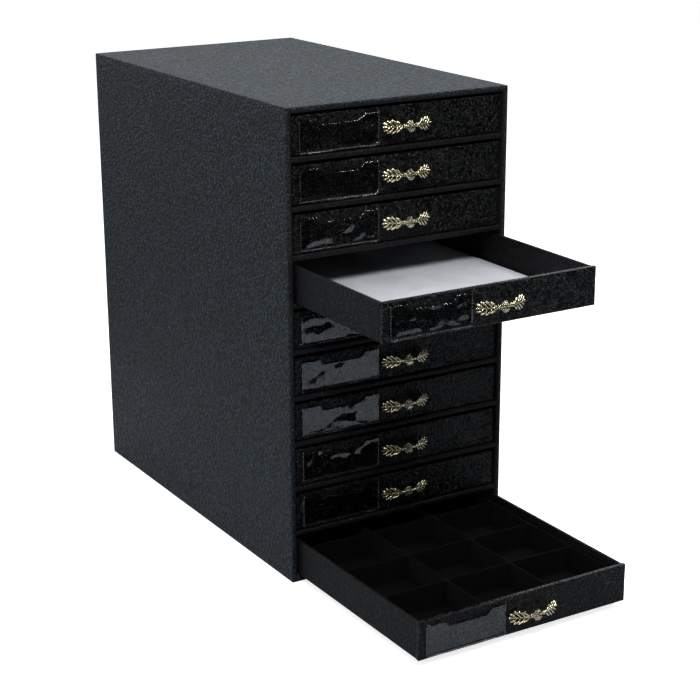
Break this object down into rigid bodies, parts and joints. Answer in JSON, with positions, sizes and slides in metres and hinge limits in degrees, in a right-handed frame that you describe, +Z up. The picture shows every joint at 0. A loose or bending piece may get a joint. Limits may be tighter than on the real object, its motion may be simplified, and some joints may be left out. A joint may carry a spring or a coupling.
{
  "type": "jewelry armoire",
  "caption": "Upright chest of shallow sliding drawers for jewelry, covered in black leatherette, with clear label pockets on the fronts and cast brass bow pulls.",
  "frame": {"origin": "centre of the chest's footprint, on the surface it stands on", "axes": "+X to the right facing the drawers, -Y the way the drawers pull out, +Z up"},
  "size_m": [0.234, 0.6178, 0.442],
  "materials": {
    "leatherette_fine": "fine-grained black leatherette, satin",
    "leatherette_coarse": "coarse-grained black leatherette, semi-gloss",
    "drawer_lining": "fine-grained black leatherette, satin",
    "board": "dark board",
    "clear_vinyl": "clear, glossy",
    "antiqued_brass": "cast, pale, antiqued",
    "velvet_grey": "short-pile velvet",
    "velvet_black": "short-pile velvet"
  },
  "bodies": {
    "chest": {"side_panel_left": "board", "side_panel_right": "board", "top_panel": "board", "base_panel": "board", "back_panel": "board", "shelves": "board", "shelf_bindings": "leatherette_fine", "outer_cover": "leatherette_fine", "back_cover": "leatherette_fine", "base_lining": "leatherette_fine"},
    "drawer_01": {"drawer_01_tray": "drawer_lining", "drawer_01_front": "leatherette_coarse", "drawer_01_label_pocket": "clear_vinyl", "drawer_01_pull": "antiqued_brass", "drawer_01_pad": "velvet_grey"},
    "drawer_02": {"drawer_02_tray": "drawer_lining", "drawer_02_front": "leatherette_coarse", "drawer_02_label_pocket": "clear_vinyl", "drawer_02_pull": "antiqued_brass", "drawer_02_pad": "velvet_grey"},
    "drawer_03": {"drawer_03_tray": "drawer_lining", "drawer_03_front": "leatherette_coarse", "drawer_03_label_pocket": "clear_vinyl", "drawer_03_pull": "antiqued_brass", "drawer_03_pad": "velvet_grey"},
    "drawer_04": {"drawer_04_tray": "drawer_lining", "drawer_04_front": "leatherette_coarse", "drawer_04_label_pocket": "clear_vinyl", "drawer_04_pull": "antiqued_brass", "drawer_04_pad": "velvet_grey"},
    "drawer_05": {"drawer_05_tray": "drawer_lining", "drawer_05_front": "leatherette_coarse", "drawer_05_label_pocket": "clear_vinyl", "drawer_05_pull": "antiqued_brass", "drawer_05_pad": "velvet_grey"},
    "drawer_06": {"drawer_06_tray": "drawer_lining", "drawer_06_front": "leatherette_coarse", "drawer_06_label_pocket": "clear_vinyl", "drawer_06_pull": "antiqued_brass", "drawer_06_pad": "velvet_grey"},
    "drawer_07": {"drawer_07_tray": "drawer_lining", "drawer_07_front": "leatherette_coarse", "drawer_07_label_pocket": "clear_vinyl", "drawer_07_pull": "antiqued_brass", "drawer_07_pad": "velvet_grey"},
    "drawer_08": {"drawer_08_tray": "drawer_lining", "drawer_08_front": "leatherette_coarse", "drawer_08_label_pocket": "clear_vinyl", "drawer_08_pull": "antiqued_brass", "drawer_08_pad": "velvet_grey"},
    "drawer_09": {"drawer_09_tray": "drawer_lining", "drawer_09_front": "leatherette_coarse", "drawer_09_label_pocket": "clear_vinyl", "drawer_09_pull": "antiqued_brass", "drawer_09_pad": "velvet_grey"},
    "drawer_10": {"drawer_10_tray": "drawer_lining", "drawer_10_front": "leatherette_coarse", "drawer_10_label_pocket": "clear_vinyl", "drawer_10_pull": "antiqued_brass", "drawer_10_compartment_insert": "velvet_black"}
  },
  "joints": [
    {"name": "drawer_01_slide", "type": "slide", "parent": "chest", "child": "drawer_01", "axis": [0, -1, 0], "range_m": [0, 0.3]},
    {"name": "drawer_02_slide", "type": "slide", "parent": "chest", "child": "drawer_02", "axis": [0, -1, 0], "range_m": [0, 0.3]},
    {"name": "drawer_03_slide", "type": "slide", "parent": "chest", "child": "drawer_03", "axis": [0, -1, 0], "range_m": [0, 0.3]},
    {"name": "drawer_04_slide", "type": "slide", "parent": "chest", "child": "drawer_04", "axis": [0, -1, 0], "range_m": [-0.146, 0.154]},
    {"name": "drawer_05_slide", "type": "slide", "parent": "chest", "child": "drawer_05", "axis": [0, -1, 0], "range_m": [0, 0.3]},
    {"name": "drawer_06_slide", "type": "slide", "parent": "chest", "child": "drawer_06", "axis": [0, -1, 0], "range_m": [0, 0.3]},
    {"name": "drawer_07_slide", "type": "slide", "parent": "chest", "child": "drawer_07", "axis": [0, -1, 0], "range_m": [0, 0.3]},
    {"name": "drawer_08_slide", "type": "slide", "parent": "chest", "child": "drawer_08", "axis": [0, -1, 0], "range_m": [0, 0.3]},
    {"name": "drawer_09_slide", "type": "slide", "parent": "chest", "child": "drawer_09", "axis": [0, -1, 0], "range_m": [0, 0.3]},
    {"name": "drawer_10_slide", "type": "slide", "parent": "chest", "child": "drawer_10", "axis": [0, -1, 0], "range_m": [-0.203, 0.097]}
  ]
}
